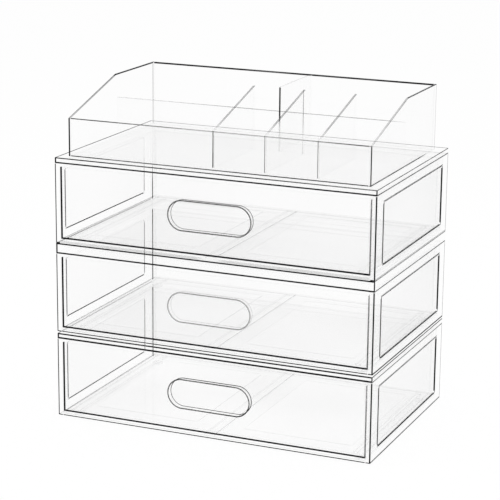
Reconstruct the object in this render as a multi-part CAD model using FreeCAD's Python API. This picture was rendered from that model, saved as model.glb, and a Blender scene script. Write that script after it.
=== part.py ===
import FreeCAD, Part
import os

# Clear stacking organizer: three tiers with a drawer each, and an open tray on top.
# Lengths are in millimetres. X runs to the right, Y to the back and Z up.
# The origin is on the resting surface, under the middle of the casings.

# Casing of one tier, from the underside of its floor to the underside of its lid
caseWidth = 301.5
caseDepth = 192.0
caseHeight = 72.5
sideThickness = 4.65
backThickness = 3.0
floorThickness = 2.5

# Sunk window in the outer face of each side panel, with a raised frame round it
windowFrontMargin = 18.6
windowRearMargin = 15.5
windowTopMargin = 8.7
windowBottomMargin = 9.9
windowDepth = 1.2
windowCornerRadius = 1.5

# Runner strips that the drawer slides on
runnerHeight = 1.7
middleRunnerWidth = 9.8
sideRunnerWidth = 6.2
railWidth = 4.7
railInset = 11.2
railFrontSetback = 13.0
railRearSetback = 4.0

# Lids; the middle one has a rim that carries the top casing
lidThickness = 5.3
rimWidth = 5.0
rimHeight = 4.5

# Pads under the bottom and middle casings
footDiameter = 10.0
footHeight = 1.6
footInset = 9.0

# Drawer
drawerSideClearance = 0.5
drawerTopClearance = 3.0
drawerRearClearance = 1.5
drawerFrontThickness = 3.0
drawerWallThickness = 2.0
drawerWallSetback = 1.0
drawerFloorThickness = 2.0

# Finger opening in the drawer front, with a collar that stands out in front of it
gripWidth = 76.9
gripHeight = 25.4
gripRise = 1.6
collarDepth = 3.1
collarThickness = 1.2

# Two sunk rectangles in the underside of the drawer floor
sinkDepth = 0.6
sinkFrontMargin = 21.5
sinkRearMargin = 12.5
sinkSideMargin = 17.8
sinkSpacing = 45.6
sinkCornerRadius = 2.0

# Tray
traySideInset = 9.0
trayFrontInset = 9.5
trayRearInset = 13.0
trayFrontHeight = 34.2
trayRearHeight = 60.1
trayBendDepth = 90.1
trayWallThickness = 2.0
trayFloorThickness = 2.0
partitionHeight = 38.7
dividerThickness = 2.0
bayWidth = 46.2
endBayWidth = 45.0


def block(left, right, front, rear, bottom, top):
    """A box between six planes."""
    corner = FreeCAD.Vector(left, front, bottom)
    return Part.makeBox(right - left, rear - front, top - bottom, corner)


def roundEdges(solid, direction, radius):
    """Round the edges of a box that run along one axis."""
    alongAxis = [edge for edge in solid.Edges
                 if abs(edge.tangentAt(edge.FirstParameter).dot(direction)) > 0.99]
    return solid.makeFillet(radius, alongAxis)


def mirrored(solid):
    """The same solid on the other side of the middle plane."""
    return solid.mirror(FreeCAD.Vector(0, 0, 0), FreeCAD.Vector(1, 0, 0))


def stadium(width, height, centreZ, front, rear):
    """A slot with half-round ends, on the middle plane, that runs from front to rear."""
    radius = height / 2
    run = width / 2 - radius

    def point(x, z):
        return FreeCAD.Vector(x, front, centreZ + z)

    edges = [
        Part.LineSegment(point(-run, radius), point(run, radius)).toShape(),
        Part.Arc(point(run, radius), point(run + radius, 0), point(run, -radius)).toShape(),
        Part.LineSegment(point(run, -radius), point(-run, -radius)).toShape(),
        Part.Arc(point(-run, -radius), point(-run - radius, 0), point(-run, radius)).toShape(),
    ]
    return Part.Face(Part.Wire(edges)).extrude(FreeCAD.Vector(0, rear - front, 0))


def save(node, shape):
    """Write one node's solid or solids to its own file."""
    shape.exportStep(os.path.join("parts", node + ".step"))
    print(node, len(shape.Solids), round(shape.Volume, 1), shape.isValid())


# Planes that the casings and drawers share
outerX = caseWidth / 2
innerX = outerX - sideThickness
frontY = -caseDepth / 2
rearY = caseDepth / 2
backInnerY = rearY - backThickness


def casingFloor(base):
    return block(-innerX, innerX, frontY, rearY, base, base + floorThickness)


def casingRunners(base):
    """Strips on the floor: one in the middle, one against each side panel and a rail beside each."""
    bottom = base + floorThickness
    top = bottom + runnerHeight
    middle = block(-middleRunnerWidth / 2, middleRunnerWidth / 2, frontY, backInnerY, bottom, top)
    side = block(innerX - sideRunnerWidth, innerX, frontY, backInnerY, bottom, top)
    railOuterX = innerX - railInset
    rail = block(railOuterX - railWidth, railOuterX,
                 frontY + railFrontSetback, backInnerY - railRearSetback, bottom, top)
    return Part.makeCompound([mirrored(side), mirrored(rail), middle, rail, side])


def casingRightSide(base):
    panel = block(innerX, outerX, frontY, rearY, base, base + caseHeight)
    window = block(outerX - windowDepth, outerX + windowDepth,
                   frontY + windowFrontMargin, rearY - windowRearMargin,
                   base + windowBottomMargin, base + caseHeight - windowTopMargin)
    return panel.cut(roundEdges(window, FreeCAD.Vector(1, 0, 0), windowCornerRadius))


def casingBack(base):
    return block(-innerX, innerX, backInnerY, rearY, base + floorThickness, base + caseHeight)


def plainLid(bottom):
    return block(-outerX, outerX, frontY, rearY, bottom, bottom + lidThickness)


def rimmedLid(bottom):
    """A lid whose rim stands up all round, so that the next casing rests on the rim."""
    plateTop = bottom + lidThickness
    outline = block(-outerX, outerX, frontY, rearY, bottom, plateTop + rimHeight)
    pocket = block(-outerX + rimWidth, outerX - rimWidth, frontY + rimWidth, rearY - rimWidth,
                   plateTop, plateTop + 2 * rimHeight)
    return outline.cut(pocket)


def feet(bottom):
    """Four round pads near the corners of a casing."""
    reach = footInset + footDiameter / 2
    pads = []
    for x in (-outerX + reach, outerX - reach):
        for y in (frontY + reach, rearY - reach):
            pads.append(Part.makeCylinder(footDiameter / 2, footHeight, FreeCAD.Vector(x, y, bottom)))
    return Part.makeCompound(pads)


# Planes of a drawer that are the same in every tier
drawerFrontX = innerX - drawerSideClearance
drawerOuterX = drawerFrontX - drawerWallSetback
drawerInnerX = drawerOuterX - drawerWallThickness
drawerBoxFrontY = frontY + drawerFrontThickness
drawerRearY = backInnerY - drawerRearClearance
drawerBackInnerY = drawerRearY - drawerWallThickness


def drawerLevels(base):
    """Heights of the drawer's underside and upper edge in the casing that stands at base."""
    return base + floorThickness + runnerHeight, base + caseHeight - drawerTopClearance


def drawerFront(base):
    bottom, top = drawerLevels(base)
    gripZ = (bottom + top) / 2 + gripRise
    collarFrontY = frontY - collarDepth
    panel = block(-drawerFrontX, drawerFrontX, frontY, drawerBoxFrontY, bottom, top)
    collar = stadium(gripWidth + 2 * collarThickness, gripHeight + 2 * collarThickness, gripZ,
                     collarFrontY, frontY)
    opening = stadium(gripWidth, gripHeight, gripZ, collarFrontY - collarDepth,
                      drawerBoxFrontY + collarDepth)
    return panel.fuse(collar).cut(opening)


def drawerRight(base):
    bottom, top = drawerLevels(base)
    return block(drawerInnerX, drawerOuterX, drawerBoxFrontY, drawerRearY, bottom, top)


def drawerBack(base):
    bottom, top = drawerLevels(base)
    return block(-drawerInnerX, drawerInnerX, drawerBackInnerY, drawerRearY, bottom, top)


def drawerFloor(base):
    bottom, _ = drawerLevels(base)
    panel = block(-drawerInnerX, drawerInnerX, drawerBoxFrontY, drawerBackInnerY,
                  bottom, bottom + drawerFloorThickness)
    sink = block(sinkSpacing / 2, drawerInnerX - sinkSideMargin,
                 drawerBoxFrontY + sinkFrontMargin, drawerBackInnerY - sinkRearMargin,
                 bottom - sinkDepth, bottom + sinkDepth)
    sink = roundEdges(sink, FreeCAD.Vector(0, 0, 1), sinkCornerRadius)
    return panel.cut([sink, mirrored(sink)])


# Planes of the tray
trayOuterX = outerX - traySideInset
trayInnerX = trayOuterX - trayWallThickness
trayFrontY = frontY + trayFrontInset
trayRearY = rearY - trayRearInset
trayFrontInnerY = trayFrontY + trayWallThickness
trayRearInnerY = trayRearY - trayWallThickness
trayBendY = trayFrontY + trayBendDepth
partitionRearY = trayBendY + trayWallThickness


def slopeHeight(y):
    """Height of the sloped upper edge above the tray's underside, in front of the bend."""
    share = (y - trayFrontY) / trayBendDepth
    return trayFrontHeight + share * (trayRearHeight - trayFrontHeight)


def slopedPlate(left, right, outline):
    """An upright plate, parallel to the side walls, with the given outline in Y and Z."""
    points = [FreeCAD.Vector(left, y, z) for y, z in outline]
    face = Part.Face(Part.makePolygon(points + points[:1]))
    return face.extrude(FreeCAD.Vector(right - left, 0, 0))


def trayRight(base):
    outline = [
        (trayFrontY, base),
        (trayRearY, base),
        (trayRearY, base + trayRearHeight),
        (trayBendY, base + trayRearHeight),
        (trayFrontY, base + trayFrontHeight),
    ]
    return slopedPlate(trayInnerX, trayOuterX, outline)


def trayDivider(base, centreX):
    """A divider with the slope of the side walls, from the front wall to the partition."""
    bottom = base + trayFloorThickness
    outline = [
        (trayFrontInnerY, bottom),
        (trayBendY, bottom),
        (trayBendY, base + trayRearHeight),
        (trayFrontInnerY, base + slopeHeight(trayFrontInnerY)),
    ]
    return slopedPlate(centreX - dividerThickness / 2, centreX + dividerThickness / 2, outline)


def saveTier(name, base, onFeet, lid):
    """Save one casing with its drawer; return the height of its lid's top."""
    if onFeet:
        save(name + "_feet", feet(base))
        base = base + footHeight
    save(name + "_floor", casingFloor(base))
    save(name + "_runners", casingRunners(base))
    save(name + "_left_side", mirrored(casingRightSide(base)))
    save(name + "_right_side", casingRightSide(base))
    save(name + "_back", casingBack(base))
    lidShape = lid(base + caseHeight)
    save(name + "_lid", lidShape)
    save(name + "_drawer_front", drawerFront(base))
    save(name + "_drawer_floor", drawerFloor(base))
    save(name + "_drawer_left", mirrored(drawerRight(base)))
    save(name + "_drawer_right", drawerRight(base))
    save(name + "_drawer_back", drawerBack(base))
    return lidShape.BoundBox.ZMax


def saveTray(base):
    """Save the pieces of the tray that stands at base."""
    floorTop = base + trayFloorThickness
    rearTop = base + trayRearHeight
    save("tray_floor", block(-trayInnerX, trayInnerX, trayFrontInnerY, trayRearInnerY, base, floorTop))
    save("tray_front", block(-trayInnerX, trayInnerX, trayFrontY, trayFrontInnerY,
                             base, base + trayFrontHeight))
    save("tray_back", block(-trayInnerX, trayInnerX, trayRearInnerY, trayRearY, base, rearTop))
    save("tray_left", mirrored(trayRight(base)))
    save("tray_right", trayRight(base))
    save("tray_partition", block(-trayInnerX, trayInnerX, trayBendY, partitionRearY,
                                 floorTop, base + partitionHeight))

    # The dividers are one bay apart, and the bay at the right wall is a little narrower
    pitch = bayWidth + dividerThickness
    rightX = trayInnerX - endBayWidth - dividerThickness / 2
    middleX = rightX - pitch
    leftX = middleX - pitch
    save("tray_divider_left", trayDivider(base, leftX))
    save("tray_divider_middle", trayDivider(base, middleX))
    save("tray_divider_right", trayDivider(base, rightX))
    rearX = (leftX + middleX) / 2
    save("tray_rear_divider", block(rearX - dividerThickness / 2, rearX + dividerThickness / 2,
                                    partitionRearY, trayRearInnerY, floorTop, rearTop))


os.makedirs("parts", exist_ok=True)
middleBase = saveTier("bottom", 0, True, plainLid)
topBase = saveTier("middle", middleBase, True, rimmedLid)
trayBase = saveTier("top", topBase, False, plainLid)
saveTray(trayBase)
print("levels", middleBase, topBase, trayBase, trayBase + trayRearHeight)
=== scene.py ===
import bpy
import bmesh
import math
from mathutils import Matrix, Vector


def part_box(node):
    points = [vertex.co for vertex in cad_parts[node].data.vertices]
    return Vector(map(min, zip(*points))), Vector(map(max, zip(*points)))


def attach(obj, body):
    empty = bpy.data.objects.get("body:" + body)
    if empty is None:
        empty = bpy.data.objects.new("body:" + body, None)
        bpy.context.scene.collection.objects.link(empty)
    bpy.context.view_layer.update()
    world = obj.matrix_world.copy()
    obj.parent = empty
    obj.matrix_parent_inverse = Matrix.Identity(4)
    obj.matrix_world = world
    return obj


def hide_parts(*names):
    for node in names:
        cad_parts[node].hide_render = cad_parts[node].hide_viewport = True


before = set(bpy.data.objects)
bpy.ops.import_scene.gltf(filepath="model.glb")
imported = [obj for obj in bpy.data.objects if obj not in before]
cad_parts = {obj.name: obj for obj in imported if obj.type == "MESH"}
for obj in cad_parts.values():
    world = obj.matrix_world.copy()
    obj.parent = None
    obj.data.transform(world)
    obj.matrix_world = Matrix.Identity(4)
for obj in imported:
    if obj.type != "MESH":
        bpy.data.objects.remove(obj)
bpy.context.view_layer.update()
print("loaded", len(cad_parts), "nodes")

sheetLook = {"mirror": 0.006, "lowAngleMirror": 0.1, "angleBlend": 0.5, "steepness": 5.0, "roughness": 0.03,
             "wave": 0.02, "waveScale": 9.0, "waveDetail": 2.0, "waveDepth": 0.001,
             "shadeCloudStart": 0.35, "shadeCloudEnd": 0.65, "shadeCloudDetail": 1.0}
# how much light each kind of sheet lets through, from its darkest patches to its palest; the darker floor
# patches are painted shade and painted reflection of darker surroundings, and on the frames the patches are
# only faint random variation
sheets = {
    "frameSheet": {"dark": 0.997, "pale": 1.0, "shadeCloudScale": 6.0},
    "paneSheet": {"dark": 0.975, "pale": 0.985, "shadeCloudScale": 6.0},
    "backSheet": {"dark": 0.99, "pale": 0.995, "shadeCloudScale": 5.0},
    "floorSheet": {"dark": 0.975, "pale": 0.995, "shadeCloudScale": 7.0},
    "sinkSheet": {"dark": 0.99, "pale": 0.998, "shadeCloudScale": 7.0},
    "traySheet": {"dark": 0.996, "pale": 0.999, "shadeCloudScale": 9.0},
}
# the near-black of the painted edge shade, and streaks of random variation in how dark it is
edgeShadeLook = {"colour": (0.004, 0.004, 0.005, 1.0), "roughness": 0.3, "gloss": 0.04, "streak": 0.25,
            "streakScale": 26.0, "streakDetail": 2.0}
padLook = {"colour": (0.9, 0.91, 0.92, 1.0), "roughness": 0.4, "alpha": 0.12, "grain": 0.3,
           "grainScale": 400.0, "grainDetail": 3.0, "grainDepth": 0.0002}


def link(tree, source, target):
    tree.links.new(source, target)


def newMaterial(name):
    material = bpy.data.materials.new(name)
    material.use_nodes = True
    tree = material.node_tree
    tree.nodes.clear()
    output = tree.nodes.new("ShaderNodeOutputMaterial")
    return material, tree, output


def objectNoise(tree, scale, detail):
    # soft clouds fixed to the piece
    place = tree.nodes.new("ShaderNodeTexCoord")
    noise = tree.nodes.new("ShaderNodeTexNoise")
    noise.inputs["Scale"].default_value = scale
    noise.inputs["Detail"].default_value = detail
    link(tree, place.outputs["Object"], noise.inputs["Vector"])
    return noise.outputs["Fac"]


def calculate(tree, operation, *values, clamp=False):
    # each value is a number or another node's output
    node = tree.nodes.new("ShaderNodeMath")
    node.operation = operation
    node.use_clamp = clamp
    for value, socket in zip(values, node.inputs):
        if isinstance(value, float):
            socket.default_value = value
        else:
            link(tree, value, socket)
    return node.outputs["Value"]


def bumpOf(tree, height, strength, depth):
    bump = tree.nodes.new("ShaderNodeBump")
    bump.inputs["Strength"].default_value = strength
    bump.inputs["Distance"].default_value = depth
    link(tree, height, bump.inputs["Height"])
    return bump.outputs["Normal"]


def mixShaders(tree, share, first, second):
    mix = tree.nodes.new("ShaderNodeMixShader")
    link(tree, share, mix.inputs["Fac"])
    link(tree, first, mix.inputs[1])
    link(tree, second, mix.inputs[2])
    return mix.outputs["Shader"]


def clearSheet(name):
    # a polished clear sheet: it lets nearly all through, a little unevenly in soft patches of painted shade
    # and reflection, and mirrors at a low angle
    material, tree, output = newMaterial(name)
    sheet = sheets[name]
    # the sheet lets less light through in soft patches: painted shade and painted reflection of darker
    # surroundings
    ramp = tree.nodes.new("ShaderNodeValToRGB")
    ends = (("shadeCloudStart", "dark"), ("shadeCloudEnd", "pale"))
    for element, (place, grey) in zip(ramp.color_ramp.elements, ends):
        element.position = sheetLook[place]
        element.color = (sheet[grey], sheet[grey], sheet[grey], 1)
    shadeClouds = objectNoise(tree, sheet["shadeCloudScale"], sheetLook["shadeCloudDetail"])
    link(tree, shadeClouds, ramp.inputs["Fac"])
    through = tree.nodes.new("ShaderNodeBsdfTransparent")
    link(tree, ramp.outputs["Color"], through.inputs["Color"])

    gloss = tree.nodes.new("ShaderNodeBsdfGlossy")
    gloss.inputs["Roughness"].default_value = sheetLook["roughness"]
    ripples = objectNoise(tree, sheetLook["waveScale"], sheetLook["waveDetail"])
    ripples = bumpOf(tree, ripples, sheetLook["wave"], sheetLook["waveDepth"])
    link(tree, ripples, gloss.inputs["Normal"])

    # the same low-angle gleam from both sides of the sheet
    angle = tree.nodes.new("ShaderNodeLayerWeight")
    angle.inputs["Blend"].default_value = sheetLook["angleBlend"]
    steep = calculate(tree, "POWER", angle.outputs["Facing"], sheetLook["steepness"])
    share = calculate(tree, "MULTIPLY_ADD", steep, sheetLook["lowAngleMirror"], sheetLook["mirror"])
    surface = mixShaders(tree, share, through.outputs["BSDF"], gloss.outputs["BSDF"])
    link(tree, surface, output.inputs["Surface"])
    return material


def edgeShadeMaterial(name):
    # painted shade: a cut edge traps light, so it looks dark, and here it is painted dark; the attribute says
    # how dark each edge is
    material, tree, output = newMaterial(name)
    tone = tree.nodes.new("ShaderNodeAttribute")
    tone.attribute_name = "tone"
    spread = tree.nodes.new("ShaderNodeMapRange")
    spread.inputs["To Min"].default_value = 1.0 - edgeShadeLook["streak"]
    spread.inputs["To Max"].default_value = 1.0 + edgeShadeLook["streak"]
    streaks = objectNoise(tree, edgeShadeLook["streakScale"], edgeShadeLook["streakDetail"])
    link(tree, streaks, spread.inputs["Value"])
    amount = calculate(tree, "MULTIPLY", tone.outputs["Fac"], spread.outputs["Result"], clamp=True)
    through = tree.nodes.new("ShaderNodeBsdfTransparent")
    dark = tree.nodes.new("ShaderNodeBsdfPrincipled")
    dark.inputs["Base Color"].default_value = edgeShadeLook["colour"]
    dark.inputs["Roughness"].default_value = edgeShadeLook["roughness"]
    dark.inputs["Specular IOR Level"].default_value = edgeShadeLook["gloss"]
    surface = mixShaders(tree, amount, through.outputs["BSDF"], dark.outputs["BSDF"])
    link(tree, surface, output.inputs["Surface"])
    return material


def padMaterial(name):
    # soft frosted pad
    material, tree, output = newMaterial(name)
    rubber = tree.nodes.new("ShaderNodeBsdfPrincipled")
    rubber.inputs["Base Color"].default_value = padLook["colour"]
    rubber.inputs["Roughness"].default_value = padLook["roughness"]
    rubber.inputs["Alpha"].default_value = padLook["alpha"]
    grain = objectNoise(tree, padLook["grainScale"], padLook["grainDetail"])
    grain = bumpOf(tree, grain, padLook["grain"], padLook["grainDepth"])
    link(tree, grain, rubber.inputs["Normal"])
    link(tree, rubber.outputs["BSDF"], output.inputs["Surface"])
    return material


frameSheet = clearSheet("frameSheet")
paneSheet = clearSheet("paneSheet")
backSheet = clearSheet("backSheet")
floorSheet = clearSheet("floorSheet")
sinkSheet = clearSheet("sinkSheet")
traySheet = clearSheet("traySheet")
paintedEdgeShade = edgeShadeMaterial("paintedEdgeShade")
padRubber = padMaterial("padRubber")
print("finishes ready")

near = 1e-5
sheetBevel = 0.0004
bevelSegments = 2
cornerSegments = 4
roughInset = 0.005       # both insets are only a start, as their corners are then moved to the limits
frameInset = 0.0005
sharpAngle = math.radians(25)
squareOn = 0.9           # a side faces an axis when its normal has at least this much of it
axisWords = (("left", "right"), ("front", "rear"), ("bottom", "top"))

# A look says how dark the cut edges of a piece are painted, as painted shade for the light that they trap.
# "rest" holds for all of them, and "edges" for those named by the sides that they lie on. "bands" are strips
# of painted shade on the first side beside the second one, "faces" are whole sides painted dark as painted
# shade, and "panes" are sides with the sheet "pane". A row of tones runs along the edge or side.


def upright(axis):
    # the direction of axis 0, 1 or 2
    return Vector([float(axis == other) for other in range(3)])


def boxPlanes(low, high, extra=None):
    # the six flat sides of a piece, and any others that its edges are named by
    planes = dict(extra or {})
    for axis, words in enumerate(axisWords):
        for word, corner in zip(words, (low, high)):
            planes[word] = (upright(axis), corner[axis])
    return planes


def liesOn(points, planes, words):
    sides = [planes[word] for word in words.split()]
    return all(abs(point.dot(normal) - offset) < near for normal, offset in sides for point in points)


def facesOn(bm, planes, words):
    return [face for face in bm.faces if liesOn([v.co for v in face.verts], planes, words)]


def cutThrough(bm, place, normal, clearOuter=False):
    everything = bm.verts[:] + bm.edges[:] + bm.faces[:]
    return bmesh.ops.bisect_plane(bm, geom=everything, dist=near, plane_co=place, plane_no=normal,
                                  clear_outer=clearOuter)


def roundOff(bm, edges, offset, segments, material=-1):
    bmesh.ops.bevel(bm, geom=edges, offset=offset, offset_type="OFFSET", segments=segments, profile=0.5,
                    affect="EDGES", clamp_overlap=True, material=material)


def stopsOf(tone):
    return tone if isinstance(tone, tuple) else (tone, tone)


def toneAlong(stops, share):
    place = max(0.0, min(1.0, share)) * (len(stops) - 1)
    first = min(int(place), len(stops) - 2)
    return stops[first] + (place - first) * (stops[first + 1] - stops[first])


def findCreases(bm, planes, look):
    # every sharp edge with its two ends, low end first, and how dark its painted shade is along its run
    creases = []
    for edge in bm.edges:
        if len(edge.link_faces) != 2 or edge.calc_face_angle(0.0) < sharpAngle:
            continue
        ends = sorted((v.co.copy() for v in edge.verts), key=sum)
        tone = look["rest"]
        for words, named in look.get("edges", {}).items():
            if liesOn(ends, planes, words):
                tone = named
        creases.append((edge, ends, stopsOf(tone)))
    return creases


def shareAlong(point, ends):
    run = ends[1] - ends[0]
    return max(0.0, min(1.0, (point - ends[0]).dot(run) / run.length_squared))


def nearestSpan(point, spans):
    def gap(span):
        start, end = span[0]
        return (start.lerp(end, shareAlong(point, span[0])) - point).length

    return min(spans, key=gap)


def cutAtStops(bm, spans):
    # a row of vertices wherever the darkness along an edge changes
    for (start, end), stops in spans:
        for step in range(1, len(stops) - 1):
            place = start.lerp(end, step / (len(stops) - 1))
            cutThrough(bm, place, (end - start).normalized())


def cutBands(bm, planes, look):
    # a strip of a flat side, near an edge, painted dark as painted shade where the light trapped in the sheet
    # also shows; it is given by how wide it is, or by where it starts and ends
    layer = bm.faces.layers.int.new("band")
    middle = sum((vert.co for vert in bm.verts), Vector()) / len(bm.verts)
    for number, (words, strip) in enumerate(look.get("bands", {}).items(), 1):
        start, end = strip if isinstance(strip, tuple) else (0.0, strip + look.get("bevel", sheetBevel))
        flat, neighbour = words.split()
        normal, offset = planes[neighbour]
        inward = 1 if middle.dot(normal) > offset else -1
        for place in (start, end) if start else (end,):
            cutThrough(bm, normal * (offset + inward * place), normal)
        for face in facesOn(bm, planes, flat):
            reach = [(vert.co.dot(normal) - offset) * inward for vert in face.verts]
            if min(reach) > start - near and max(reach) < end + near:
                face.material_index = 1
                face[layer] = number


def paintDark(face, layer, planes, look, words, spans):
    # an edge or a band is painted as dark as the nearest edge; a band keeps to the edges on its own two
    # planes
    own = [span for span in spans if liesOn(span[0], planes, words)] if words else spans
    ends, stops = nearestSpan(face.calc_center_median(), own)
    stops = stopsOf(look.get("bandTones", {}).get(words, stops))
    for loop in face.loops:
        loop[layer] = toneAlong(stops, shareAlong(loop.vert.co, ends))


def paintFlat(face, layer, planes, side, tone):
    # a whole flat side is painted dark, as painted shade, along its longest way
    def lengthAlong(axis):
        return planes[axisWords[axis][1]][1] - planes[axisWords[axis][0]][1]

    normal = planes[side][0]
    longest = max((axis for axis in range(3) if normal[axis] < squareOn), key=lengthAlong)
    first = planes[axisWords[longest][0]][1]
    for loop in face.loops:
        loop[layer] = toneAlong(stopsOf(tone), (loop.vert.co[longest] - first) / lengthAlong(longest))
    face.material_index = 1


def paintEdges(bm, planes, look, spans):
    layer = bm.loops.layers.float.new("tone")
    bandLayer = bm.faces.layers.int.get("band")
    bandWords = [None] + list(look.get("bands", {}))
    for face in bm.faces:
        if face.material_index == 1:
            paintDark(face, layer, planes, look, bandWords[face[bandLayer]], spans)
            continue
        points = [v.co for v in face.verts]
        for side, tone in look.get("faces", {}).items():
            if liesOn(points, planes, side):
                paintFlat(face, layer, planes, side, tone)
        for side in look.get("panes", ()):
            if liesOn(points, planes, side):
                face.material_index = 2


def changedLook(look, changes):
    return look | {key: look[key] | values for key, values in changes.items()}


def finishPiece(name, bm, body, node, look):
    bmesh.ops.recalc_face_normals(bm, faces=bm.faces)
    mesh = bpy.data.meshes.new(name)
    bm.to_mesh(mesh)
    bm.free()
    # the second slot holds the painted edge shade
    for material in (look["clear"], paintedEdgeShade, look.get("pane", look["clear"])):
        mesh.materials.append(material)
    piece = bpy.data.objects.new(name, mesh)
    bpy.context.scene.collection.objects.link(piece)
    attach(piece, body)
    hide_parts(node)


def sheetPiece(name, bm, body, node, planes, look):
    # round off the sharp edges, and give each its darkness
    creases = findCreases(bm, planes, look)
    spans = [(ends, stops) for edge, ends, stops in creases]
    roundOff(bm, [edge for edge, ends, stops in creases], look.get("bevel", sheetBevel), bevelSegments, 1)
    cutBands(bm, planes, look)
    cutAtStops(bm, spans)
    paintEdges(bm, planes, look, spans)
    finishPiece(name, bm, body, node, look)


def addBox(bm, low, high):
    verts = bmesh.ops.create_cube(bm, size=1.0)["verts"]
    bmesh.ops.scale(bm, vec=high - low, verts=verts)
    bmesh.ops.translate(bm, vec=(low + high) / 2, verts=verts)


def boxPiece(name, node, body, look):
    low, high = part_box(node)
    low = low + Vector((0, 0, look.get("lift", 0.0)))
    bm = bmesh.new()
    addBox(bm, low, high)
    sheetPiece(name, bm, body, node, boxPlanes(low, high), look)


def moveToLimits(face, limits, grow):
    # pull the corners of a rectangle to the limits on each axis, and past them by what grow says
    middle = face.calc_center_median()
    for vert in face.verts:
        for other, (start, end) in limits.items():
            before, after = grow.get(other, (0.0, 0.0))
            vert.co[other] = start - before if vert.co[other] < middle[other] else end + after


def sunkPane(bm, face, axis, depth, limits, radius, frameWidths=None):
    # sink a rounded rectangle into a flat face, between the given limits on the other two axes;
    # a frame of painted shade, of the given widths, goes round it
    bmesh.ops.inset_region(bm, faces=[face], thickness=roughInset, use_even_offset=True)
    if frameWidths:
        moveToLimits(face, limits, frameWidths)
        bmesh.ops.inset_region(bm, faces=[face], thickness=frameInset, use_even_offset=True)
        for strip in {other for edge in face.edges for other in edge.link_faces} - {face}:
            strip.material_index = 1
    moveToLimits(face, limits, {})
    sunk = bmesh.ops.extrude_face_region(bm, geom=[face])["geom"]
    bmesh.ops.delete(bm, geom=[face], context="FACES_ONLY")
    verts = [item for item in sunk if isinstance(item, bmesh.types.BMVert)]
    for wall in {f for v in verts for f in v.link_faces}:
        wall.material_index = 0
    bmesh.ops.translate(bm, vec=upright(axis) * depth, verts=verts)
    corners = [e for v in verts for e in v.link_edges if abs((e.verts[0].co - e.verts[1].co)[axis]) > near]
    roundOff(bm, corners, radius, cornerSegments)


sideWindow = {"frontMargin": 0.0186, "rearMargin": 0.0155, "topMargin": 0.0087, "bottomMargin": 0.0099,
              "depth": 0.0012, "cornerRadius": 0.0015}
sideLook = {
    "left": {"clear": frameSheet, "pane": paneSheet, "panes": ("pane",), "rest": 0.04,
             "edges": {"left": 0.6, "left top": 0.04, "left rear": 0.1, "left bottom": 0.3,
                       "front bottom": 1.1, "left front": 1.2, "left windowFront": 0.95,
                       "left windowRear": 1.0, "left windowBottom": 1.1, "left windowTop": 0.1,
                       "pane windowRear": 0.5},
             "bands": {"front bottom": 0.0006, "front left": 0.0007, "rear left": (0.0014, 0.0024)},
             "bandTones": {"rear left": 1.1},
             "faces": {"windowRear": 0.7},
             "frame": {1: (0.0009, 0.0008), 2: (0.00125, 0.00045)}},
    "right": {"clear": frameSheet, "pane": paneSheet, "panes": ("pane",), "rest": 0.04,
              "edges": {"right": 0.9, "right top": 0.04, "right rear": 0.9, "right bottom": 1.1,
                        "front bottom": 1.1, "right front": 1.2, "right windowFront": 1.2,
                        "right windowRear": 1.1, "right windowBottom": 1.2, "right windowTop": 0.8,
                        "pane windowFront": 1.1, "pane windowRear": 1.1, "pane windowBottom": 0.6},
              "bands": {"front bottom": 0.0006, "front right": 0.0008, "right bottom": 0.0012,
                        "right rear": 0.0004},
              "faces": {"windowFront": 1.1, "windowRear": 1.1, "windowBottom": 1.1},
              "frame": {1: (0.002, 0.00045), 2: (0.0006, 0.0018)}},
}
# what differs in one tier
sideChanges = {
    ("top", "left"): {"edges": {"left rear": (0.1, 0.1, 0.05, 0.05, 0.05),
                                "left windowRear": (1.0, 0.6, 0.1, 0.05),
                                "pane windowRear": (0.5, 0.3, 0.05, 0.05)},
                      "bandTones": {"rear left": (1.1, 0.9, 0.1, 0.05, 0.05)},
                      "faces": {"windowRear": (0.7, 0.5, 0.1, 0.05)}},
    ("middle", "left"): {"edges": {"left bottom": 0.05}},
    ("bottom", "right"): {"edges": {"right bottom": 0.9}},
    ("top", "right"): {"edges": {"right bottom": 0.4}},
}


def sidePanel(tier, side):
    node = f"{tier}_{side}_side"
    low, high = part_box(node)
    outerX, inward = (low.x, 1.0) if side == "left" else (high.x, -1.0)
    limits = {1: (low.y + sideWindow["frontMargin"], high.y - sideWindow["rearMargin"]),
              2: (low.z + sideWindow["bottomMargin"], high.z - sideWindow["topMargin"])}
    planes = boxPlanes(low, high, {
        "pane": (upright(0), outerX + inward * sideWindow["depth"]),
        "windowFront": (upright(1), limits[1][0]), "windowRear": (upright(1), limits[1][1]),
        "windowBottom": (upright(2), limits[2][0]), "windowTop": (upright(2), limits[2][1])})
    bm = bmesh.new()
    addBox(bm, low, high)
    sunkPane(bm, facesOn(bm, planes, side)[0], 0, inward * sideWindow["depth"], limits,
             sideWindow["cornerRadius"], sideLook[side]["frame"])
    look = changedLook(sideLook[side], sideChanges.get((tier, side), {}))
    sheetPiece(f"{tier}{side.title()}Side", bm, tier + "_case", node, planes, look)


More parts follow.
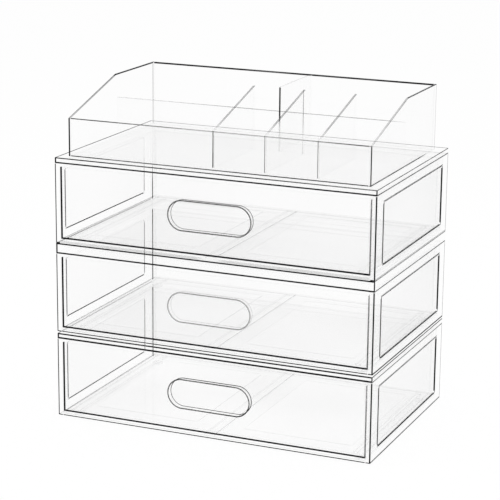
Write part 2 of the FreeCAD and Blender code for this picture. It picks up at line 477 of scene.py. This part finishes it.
floorPanelLook = {"clear": frameSheet, "rest": 0.05, "edges": {"front bottom": 1.1, "front top": 0.15},
                  "bands": {"front bottom": 0.0006}}
frontShade = (0.25,) * 15 + (0.02, 0.02) + (0.25,) * 15     # broken in the middle, at the runner
topFloorPanelLook = {"clear": frameSheet, "rest": 0.05, "edges": {"front top": frontShade},
                     "faces": {"front": frontShade}}
backPanelLook = {"clear": backSheet, "rest": 0.06}
lidBands = {"front top": 0.0008, "front bottom": 0.00135, "front left": 0.0012, "front right": 0.0006,
            "top left": 0.0012, "right bottom": 0.00075, "right top": 0.0002}
lidLook = {
    "bottom": {"clear": frameSheet, "rest": 0.05, "bands": lidBands,
               "edges": {"front top": 1.0, "front bottom": 1.1, "front left": 1.1, "front right": 1.0,
                         "left top": (0.6, 0.4), "right top": 1.0, "right bottom": 0.9}},
    "middle": {"clear": frameSheet, "rest": 0.05, "bands": lidBands | {"front bottom": 0.0011},
               "edges": {"front top": 1.1, "front bottom": 1.1, "front left": 1.2, "front right": 1.1,
                         "left top": (0.8, 0.45), "right top": 0.7, "right bottom": 0.95}},
    "top": {"clear": frameSheet, "rest": 0.05,
            "bands": lidBands | {"front top": 0.0005, "front bottom": 0.001, "top left": 0.0015,
                                 "top rear": 0.0006},
            "edges": {"front top": (1.0, 0.95, 0.8), "front bottom": 1.1, "front left": 1.1,
                      "front right": 1.1, "left top": (1.2, 1.1, 0.8), "right top": 0.9,
                      "right bottom": 0.95, "rear top": 1.2, "rear bottom": 0.3}},
}
lidRim = {"width": 0.005, "height": 0.0045, "cornerRadius": 0.0005}


def tierLid(tier):
    node = tier + "_lid"
    low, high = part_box(node)
    planes = boxPlanes(low, high)
    bm = bmesh.new()
    addBox(bm, low, high)
    if tier == "middle":     # its rim carries the top casing
        face = facesOn(bm, planes, "top")[0]
        limits = {0: (low.x + lidRim["width"], high.x - lidRim["width"]),
                  1: (low.y + lidRim["width"], high.y - lidRim["width"])}
        sunkPane(bm, face, 2, -lidRim["height"], limits, lidRim["cornerRadius"])
    sheetPiece(tier + "Lid", bm, tier + "_case", node, planes, lidLook[tier])


runner = {"middleWidth": 0.0098, "sideWidth": 0.0062, "railWidth": 0.0047, "railInset": 0.0112,
          "railFrontSetback": 0.013, "railRearSetback": 0.004}
runnerLook = {"clear": frameSheet, "rest": 0.14, "bevel": 0.0003,
              "edges": {"top middleLeft": 0.4, "top middleRight": 0.4}}


def runners(tier):
    node = tier + "_runners"
    low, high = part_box(node)
    railOuter = high.x - runner["railInset"]
    strips = [(-runner["middleWidth"] / 2, runner["middleWidth"] / 2, 0, 0)]
    for sign in (-1, 1):
        side = sorted((sign * high.x, sign * (high.x - runner["sideWidth"])))
        rail = sorted((sign * railOuter, sign * (railOuter - runner["railWidth"])))
        strips.append((*side, 0, 0))
        strips.append((*rail, runner["railFrontSetback"], runner["railRearSetback"]))
    bm = bmesh.new()
    for left, right, frontGap, rearGap in strips:
        addBox(bm, Vector((left, low.y + frontGap, low.z)), Vector((right, high.y - rearGap, high.z)))
    planes = boxPlanes(low, high, {"middleLeft": (upright(0), -runner["middleWidth"] / 2),
                                   "middleRight": (upright(0), runner["middleWidth"] / 2)})
    sheetPiece(tier + "Runners", bm, tier + "_case", node, planes, runnerLook)


foot = {"radius": 0.005, "rimRadius": 0.0004, "rimSegments": 3, "segments": 40}
footLook = {"clear": padRubber, "slot": "clear_pad"}


def feet(tier):
    node = tier + "_feet"
    low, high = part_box(node)
    bm = bmesh.new()
    for x in (low.x + foot["radius"], high.x - foot["radius"]):
        for y in (low.y + foot["radius"], high.y - foot["radius"]):
            place = Matrix.Translation((x, y, (low.z + high.z) / 2))
            bmesh.ops.create_cone(bm, cap_ends=True, segments=foot["segments"], radius1=foot["radius"],
                                  radius2=foot["radius"], depth=high.z - low.z, matrix=place)
    rims = [edge for edge in bm.edges if edge.calc_face_angle(0.0) > sharpAngle]
    roundOff(bm, rims, foot["rimRadius"], foot["rimSegments"])
    for face in bm.faces:
        face.smooth = len(face.verts) < foot["segments"]     # all but the two flat ends
    finishPiece(tier + "Feet", bm, tier + "_case", node, footLook)


grip = {"width": 0.0769, "height": 0.0254, "rise": 0.0016, "plate": 0.003, "collar": 0.0012,
        "segments": 56, "bevel": 0.0004, "rim": 0.0003, "rearChamfer": 0.00015, "rearRing": 0.0005}
gripRadius = grip["height"] / 2
gripRun = grip["width"] / 2 - gripRadius     # half of the straight part
# how dark the plate's edges and the finger opening's edges are painted, as painted shade
drawerFrontLook = {
    "clear": frameSheet,
    "gripFront": {"bottom": 0.85, "middle": 0.6, "top": 0.85},
    "gripRear": {"bottom": 1.0, "middle": 0.2, "top": 0.8},
    "edges": {"front left": 1.2, "rear left": 1.2, "front bottom": 1.25, "rear bottom": 1.25,
              "front right": (0.9, 0.75), "rear right": 0.5, "front top": 0.03, "rear top": 0.05},
    "faces": {"left": 1.2, "bottom": 1.25, "right": (0.8, 0.6), "top": 0.02},
    "bands": {"front bottom": 0.0013, "front left": 0.0014},
}


def ringOf(bm, verts):
    members = set(verts)
    return [e for e in bm.edges if e.verts[0] in members and e.verts[1] in members]


def loft(bm, ring, steps, outward):
    # carry a ring on through the given steps: how far out, how far back, and its material
    for out, back, material in steps:
        before = set(bm.faces)
        made = bmesh.ops.extrude_edge_only(bm, edges=ring)["geom"]
        verts = [item for item in made if isinstance(item, bmesh.types.BMVert)]
        for vert in verts:
            vert.co += outward(vert.co) * out + Vector((0, back, 0))
        for face in bm.faces:
            if face not in before:
                face.material_index = material
        ring = ringOf(bm, verts)
    return ring


def fromArc(point, centre):
    # outwards from the finger opening, square to its straight parts and round its ends
    hub = Vector((math.copysign(gripRun, point.x), point.y, centre.z))
    return (point - hub).normalized()


def plateRim(bm, low, high, centre):
    # the plate's outline with its rounded edges, from the front face to the rear face
    def fromMiddle(point):
        return Vector((math.copysign(1, point.x), 0, math.copysign(1, point.z - centre.z)))

    bevel = grip["bevel"]
    verts = bmesh.ops.create_grid(bm, x_segments=1, y_segments=1, size=0.5)["verts"]
    bmesh.ops.delete(bm, geom=bm.faces[:], context="FACES_ONLY")
    bmesh.ops.rotate(bm, verts=verts, matrix=Matrix.Rotation(math.pi / 2, 3, "X"))
    bmesh.ops.scale(bm, vec=(high.x - low.x - 2 * bevel, 1, high.z - low.z - 2 * bevel), verts=verts)
    bmesh.ops.translate(bm, vec=(0, low.y, (low.z + high.z) / 2), verts=verts)
    front = ringOf(bm, verts)
    steps = [(bevel, bevel, 1), (0, grip["plate"] - 2 * bevel, 0), (-bevel, bevel, 1)]
    return front, loft(bm, front, steps, fromMiddle)


def collarRim(bm, centre, plateFront, height):
    # forward round the collar from its foot on the plate, then back through the opening to the rear face
    halfStep = math.pi / grip["segments"]
    turned = Matrix.Rotation(math.pi / 2, 4, "X") @ Matrix.Rotation(halfStep, 4, "Z")
    verts = bmesh.ops.create_circle(bm, segments=grip["segments"],
                                    radius=(gripRadius + grip["collar"]) / math.cos(halfStep),
                                    matrix=turned)["verts"]
    for vert in verts:
        vert.co += centre + Vector((math.copysign(gripRun, vert.co.x), plateFront, 0))
    outline = ringOf(bm, verts)
    rim, chamfer = grip["rim"], grip["rearChamfer"]
    steps = [(0, rim - height, 0), (-rim, -rim, 1), (2 * rim - grip["collar"], 0, 1), (-rim, rim, 1),
             (0, height + grip["plate"] - rim - chamfer, 0), (chamfer, chamfer, 1), (grip["rearRing"], 0, 1)]
    return outline, loft(bm, outline, steps, lambda point: fromArc(point, centre))


def plateSpans(planes, low, high):
    spans = []
    for words, tone in drawerFrontLook["edges"].items():
        side, other = words.split()
        y, place = planes[side][1], planes[other][1]
        if other in ("left", "right"):
            ends = (Vector((place, y, low.z)), Vector((place, y, high.z)))
        else:
            ends = (Vector((low.x, y, place)), Vector((high.x, y, place)))
        spans.append((ends, stopsOf(tone)))
    return spans


def openingSpans(outline, centre, y, tone):
    # the edge of the finger opening at one depth, worked out from the outline of the collar
    spans = []
    for edge in outline:
        ends = [Vector((v.co.x, y, v.co.z)) - fromArc(v.co, centre) * grip["collar"] for v in edge.verts]
        spans.append((ends, stopsOf(tone)))
    return spans


def drawerFront(tier):
    node = tier + "_drawer_front"
    low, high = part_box(node)
    plateLow = Vector((low.x, high.y - grip["plate"], low.z))
    planes = boxPlanes(plateLow, high)
    centre = Vector((0, 0, (low.z + high.z) / 2 + grip["rise"]))
    bm = bmesh.new()
    plateFront, plateRear = plateRim(bm, plateLow, high, centre)
    collarFoot, holeRear = collarRim(bm, centre, plateLow.y, plateLow.y - low.y)
    for edges in (plateFront + collarFoot, plateRear + holeRear):
        bmesh.ops.triangle_fill(bm, use_beauty=True, use_dissolve=False, edges=edges)
    spans = plateSpans(planes, low, high)
    spans += openingSpans(collarFoot, centre, low.y, drawerFrontLook["gripFront"][tier])
    spans += openingSpans(collarFoot, centre, high.y, drawerFrontLook["gripRear"][tier])
    cutBands(bm, planes, drawerFrontLook)
    paintEdges(bm, planes, drawerFrontLook, spans)
    finishPiece(tier + "DrawerFront", bm, tier + "_drawer", node, drawerFrontLook)


sink = {"frontMargin": 0.0215, "rearMargin": 0.0125, "sideMargin": 0.0178, "spacing": 0.0456,
        "depth": 0.0006, "cornerRadius": 0.002}
drawerFloorLook = {"clear": floorSheet, "pane": sinkSheet, "panes": ("sunk",), "rest": 0.05, "bevel": 0.0003,
                   "edges": {"rear top": 0.1, "bottom sinkFront": 0.1, "bottom sinkRear": 0.1,
                             "bottom sinkLeft": 0.15, "bottom sinkRight": 0.15,
                             "left top": 0.2, "front top": 0.1}}
drawerWallLook = {"clear": frameSheet, "rest": 0.05}
drawerLeftLook = {"clear": frameSheet, "rest": 0.05, "edges": {"left bottom": 0.5}}


def drawerFloor(tier):
    node = tier + "_drawer_floor"
    low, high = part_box(node)
    planes = boxPlanes(low, high, {
        "sunk": (upright(2), low.z + sink["depth"]), "sinkFront": (upright(1), low.y + sink["frontMargin"]),
        "sinkRear": (upright(1), high.y - sink["rearMargin"]),
        "sinkLeft": (upright(0), -sink["spacing"] / 2), "sinkRight": (upright(0), sink["spacing"] / 2)})
    bm = bmesh.new()
    addBox(bm, low, high)
    cutThrough(bm, Vector(), upright(0))
    for face in facesOn(bm, planes, "bottom"):
        inner, outer = sink["spacing"] / 2, high.x - sink["sideMargin"]
        sides = (-outer, -inner) if face.calc_center_median().x < 0 else (inner, outer)
        limits = {0: sides, 1: (low.y + sink["frontMargin"], high.y - sink["rearMargin"])}
        sunkPane(bm, face, 2, sink["depth"], limits, sink["cornerRadius"])
    sheetPiece(tier + "DrawerFloor", bm, tier + "_drawer", node, planes, drawerFloorLook)


for tier in ("bottom", "middle", "top"):
    case = tier + "_case"
    boxPiece(tier + "Floor", tier + "_floor", case, topFloorPanelLook if tier == "top" else floorPanelLook)
    runners(tier)
    sidePanel(tier, "left")
    sidePanel(tier, "right")
    boxPiece(tier + "Back", tier + "_back", case, backPanelLook)
    tierLid(tier)
    if tier + "_feet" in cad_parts:
        feet(tier)
    drawerFront(tier)
    drawerFloor(tier)
    for side in ("left", "right", "back"):
        boxPiece(f"{tier}Drawer{side.title()}", f"{tier}_drawer_{side}", tier + "_drawer",
                 drawerLeftLook if side == "left" else drawerWallLook)
    print(tier, "tier ready")

trayShape = {"frontHeight": 0.0342, "rearHeight": 0.0601, "bendDepth": 0.0901}
dividerSlope = (0.07, 0.5, 0.47, 0.5, 0.52)
trayFrontTop = (1.0, 0.8, 0.5, 0.45, 0.5, 0.9)
partitionTop = (0.15, 0.18, 0.2, 0.22, 0.25, 0.3, 0.35, 0.4) + (0.42,) * 6 + (0.4, 0.35, 0.05)
trayLook = {
    "front": {"clear": traySheet, "rest": 0.03,
              "edges": {"front top": trayFrontTop, "front bottom": 0.95}, "faces": {"top": trayFrontTop},
              "bands": {"front top": 0.0002, "front bottom": 0.0006}},
    "back": {"clear": traySheet, "rest": 0.04,
             "edges": {"front top": 1.0, "rear top": 1.0}, "faces": {"top": 1.0},
             "bands": {"front top": 0.0009}},
    "left": {"clear": traySheet, "rest": 0.03,
             "edges": {"front bottom": 0.95, "front slope": 0.9, "front left": 1.2,
                       "slope left": (0.75, 1.1), "slope right": (0.5, 0.7), "top left": 1.2,
                       "top right": 1.0, "rear left": 0.6},
             "faces": {"top": 1.2, "slope": (0.5, 0.8)},
             "bands": {"front bottom": 0.0006, "front left": 0.0014, "left slope": 0.0002,
                       "left top": 0.0012}},
    "right": {"clear": traySheet, "rest": 0.05,
              "edges": {"front bottom": 0.95, "front slope": 0.8, "front right": 1.1,
                        "slope right": (0.25, 0.5, 0.6), "slope left": (0.1, 0.35, 0.45), "top right": 1.0,
                        "top left": 1.0, "right bottom": (0.95,) * 7 + (0.1, 0.05), "rear right": 0.5},
              "faces": {"slope": (0.2, 0.45, 0.55), "top": 1.0},
              "bands": {"front bottom": 0.0006, "front right": 0.0005, "right bottom": 0.0009}},
    "partition": {"clear": traySheet, "rest": 0.02,
                  "edges": {"front top": partitionTop, "rear top": partitionTop},
                  "faces": {"top": partitionTop}},
    "divider": {"clear": traySheet, "rest": 0.04,
                "edges": {"slope left": dividerSlope, "slope right": dividerSlope, "front left": 0.85,
                          "front right": 0.1},
                "faces": {"slope": dividerSlope}, "bands": {"front left": 0.0004}},
    "rear_divider": {"clear": traySheet, "rest": 0.04,
                     "edges": {"front left": (0.15, 0.15, 0.3, 1.25, 1.25, 1.25), "left top": 0.6},
                     "bands": {"front left": 0.0012}},
    "floor": {"clear": traySheet, "rest": 0.02, "lift": 0.00002},     # lifted off the lid by a hair
}
# what differs in one divider
dividerChanges = {
    "left": {"edges": {"front left": (1.25, 1.25, 0.85, 0.85, 0.8)}, "bands": {"front left": 0.0008}},
    "middle": {"edges": {"rear left": (0.3, 0.15, 0.75, 0.75, 0.7)}},
    "right": {},
}


def slopedPlate(name, node, look):
    # an upright plate whose front part is cut down along the slope
    low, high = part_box(node)
    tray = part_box("tray_left")
    bend = Vector((0, tray[0].y + trayShape["bendDepth"], tray[0].z + trayShape["rearHeight"]))
    slope = Vector((0, trayShape["bendDepth"], trayShape["rearHeight"] - trayShape["frontHeight"]))
    normal = slope.cross(upright(0)).normalized()
    normal = normal if normal.z > 0 else -normal
    bm = bmesh.new()
    addBox(bm, low, high)
    cut = cutThrough(bm, bend, normal, clearOuter=True)["geom_cut"]
    rim = [item for item in cut if isinstance(item, bmesh.types.BMEdge)]
    bmesh.ops.contextual_create(bm, geom=rim)
    planes = boxPlanes(low, high, {"slope": (normal, bend.dot(normal))})
    sheetPiece(name, bm, "tray", node, planes, look)


for part in ("floor", "front", "back", "partition", "rear_divider"):
    name = "tray" + part.title().replace("_", "")
    boxPiece(name, "tray_" + part, "tray", trayLook[part])
for side in ("left", "right"):
    slopedPlate(f"tray{side.title()}", f"tray_{side}", trayLook[side])
for side in ("left", "middle", "right"):
    look = changedLook(trayLook["divider"], dividerChanges[side])
    slopedPlate(f"trayDivider{side.title()}", f"tray_divider_{side}", look)
print("tray ready")

floorLook = {"size": 6.0, "colour": (0.97, 0.97, 0.97, 1.0), "glow": 0.95, "drop": 0.0002}
light = {"world": 0.75, "place": (0.2, -0.3, 1.9), "target": (0, 0, 0.1), "size": 1.8, "watts": 16}


def seenDirectly(tree):
    # 1 for what the camera sees, also in a polished sheet, and 0 for what lights the object
    rays = tree.nodes.new("ShaderNodeLightPath")
    return calculate(tree, "MAXIMUM", rays.outputs["Is Camera Ray"], rays.outputs["Is Glossy Ray"])


def makeStage():
    bm = bmesh.new()
    bmesh.ops.create_grid(bm, x_segments=1, y_segments=1, size=floorLook["size"] / 2)
    mesh = bpy.data.meshes.new("studioFloor")
    bm.to_mesh(mesh)
    bm.free()
    floor = bpy.data.objects.new("studioFloor", mesh)
    floor.location.z = -floorLook["drop"]
    bpy.context.scene.collection.objects.link(floor)
    material, tree, output = newMaterial("studioPaper")
    paper = tree.nodes.new("ShaderNodeBsdfDiffuse")
    paper.inputs["Color"].default_value = floorLook["colour"]
    glow = tree.nodes.new("ShaderNodeEmission")
    share = calculate(tree, "MULTIPLY", seenDirectly(tree), floorLook["glow"])
    surface = mixShaders(tree, share, paper.outputs["BSDF"], glow.outputs["Emission"])
    link(tree, surface, output.inputs["Surface"])
    mesh.materials.append(material)


def makeWorld():
    world = bpy.data.worlds.new("studio")
    world.use_nodes = True
    bpy.context.scene.world = world
    tree = world.node_tree
    tree.nodes.clear()
    output = tree.nodes.new("ShaderNodeOutputWorld")
    backdrop = tree.nodes.new("ShaderNodeBackground")
    lighting = tree.nodes.new("ShaderNodeBackground")
    lighting.inputs["Strength"].default_value = light["world"]
    for shader in (backdrop, lighting):
        shader.inputs["Color"].default_value = (1, 1, 1, 1)
    surface = mixShaders(tree, seenDirectly(tree), lighting.outputs["Background"],
                         backdrop.outputs["Background"])
    link(tree, surface, output.inputs["Surface"])


def makeLamp():
    lamp = bpy.data.lights.new("overhead", "AREA")
    lamp.shape = "SQUARE"
    lamp.size = light["size"]
    lamp.energy = light["watts"]
    holder = bpy.data.objects.new("overhead", lamp)
    place = Vector(light["place"])
    aim = Vector(light["target"]) - place
    holder.matrix_world = Matrix.Translation(place) @ aim.to_track_quat("-Z", "Y").to_matrix().to_4x4()
    bpy.context.scene.collection.objects.link(holder)


# degrees and metres; the lens and the sensor are in millimetres
view = {"azimuth": 23.101, "elevation": 14.654, "roll": 0.577, "distance": 1.7556,
        "target": (-0.00363, 0.0, 0.15043), "lens": 139.1832, "sensor": 36.0,
        "nearest": 0.05, "farthest": 20.0}


def makeCamera():
    azimuth, elevation, roll = (math.radians(view[angle]) for angle in ("azimuth", "elevation", "roll"))
    ahead = Vector((-math.sin(azimuth) * math.cos(elevation), math.cos(azimuth) * math.cos(elevation),
                    -math.sin(elevation)))
    right = Vector((math.cos(azimuth), math.sin(azimuth), 0.0))
    up = right.cross(ahead)
    across = math.cos(roll) * right + math.sin(roll) * up
    upward = math.cos(roll) * up - math.sin(roll) * right
    camera = bpy.data.cameras.new("studioCamera")
    camera.sensor_width = view["sensor"]
    camera.lens = view["lens"]
    camera.clip_start = view["nearest"]
    camera.clip_end = view["farthest"]
    holder = bpy.data.objects.new("studioCamera", camera)
    place = Vector(view["target"]) - view["distance"] * ahead
    turn = Matrix((across, upward, -ahead)).transposed().to_4x4()
    holder.matrix_world = Matrix.Translation(place) @ turn
    bpy.context.scene.collection.objects.link(holder)
    bpy.context.scene.camera = holder


makeStage()
makeWorld()
makeLamp()
makeCamera()
scene = bpy.context.scene
scene.view_settings.view_transform = "Standard"
scene.cycles.transparent_max_bounces = 96     # a ray meets many clear sheets on its way through
print("stage ready")
